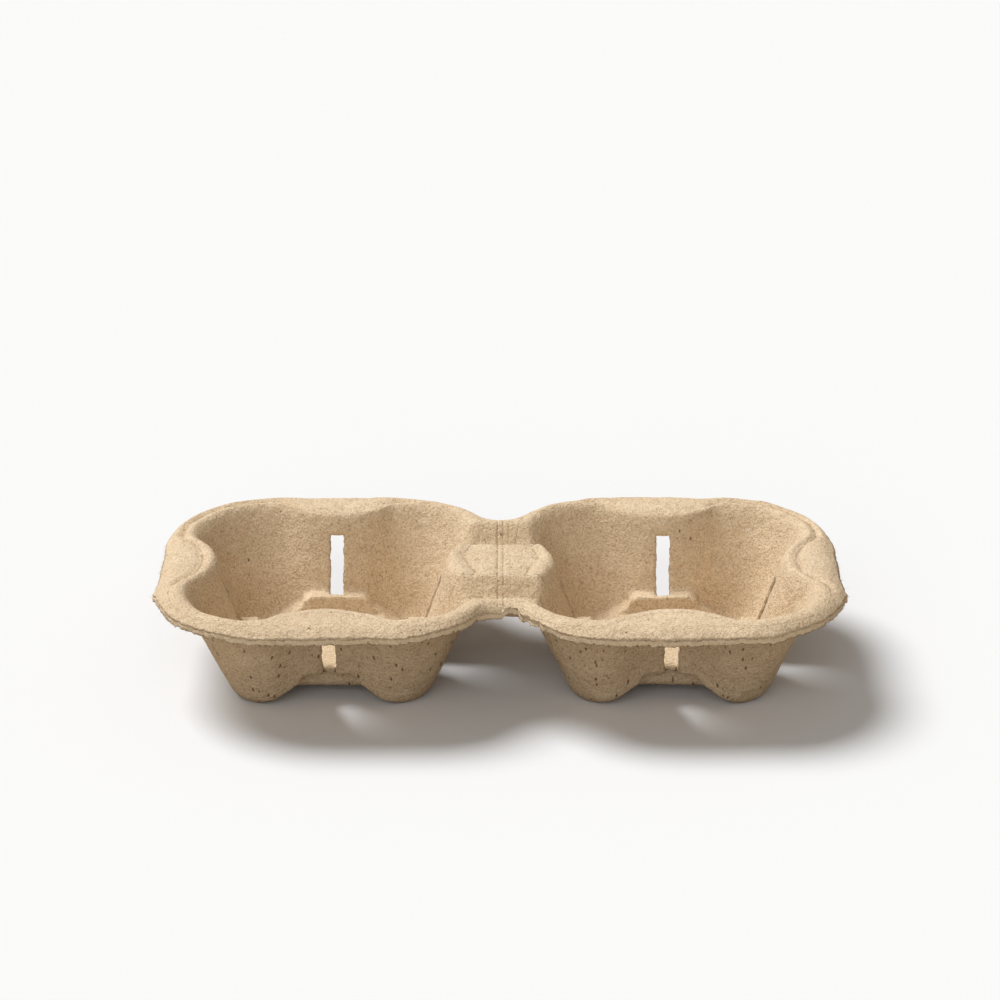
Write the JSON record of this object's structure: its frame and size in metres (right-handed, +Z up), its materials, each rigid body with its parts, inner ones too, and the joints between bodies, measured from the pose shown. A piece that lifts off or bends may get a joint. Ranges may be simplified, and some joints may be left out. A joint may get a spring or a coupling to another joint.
{
  "type": "moulded fibre cup carrier",
  "caption": "Moulded pulp carrier with a pair of rounded square wells, side by side, each on its own feet and joined by a bridge, that holds paper cups upright.",
  "frame": {"origin": "on the surface that the carrier stands on, under the middle of the bridge between the two wells", "axes": "+Z up, +X along the carrier from one well to the other, -Y towards the front"},
  "size_m": [0.213, 0.108, 0.0365],
  "materials": {
    "moulded_pulp": "rough, undyed brown pulp with a felt-like face"
  },
  "bodies": {
    "root": {"cup_carrier": "moulded_pulp"}
  },
  "joints": []
}
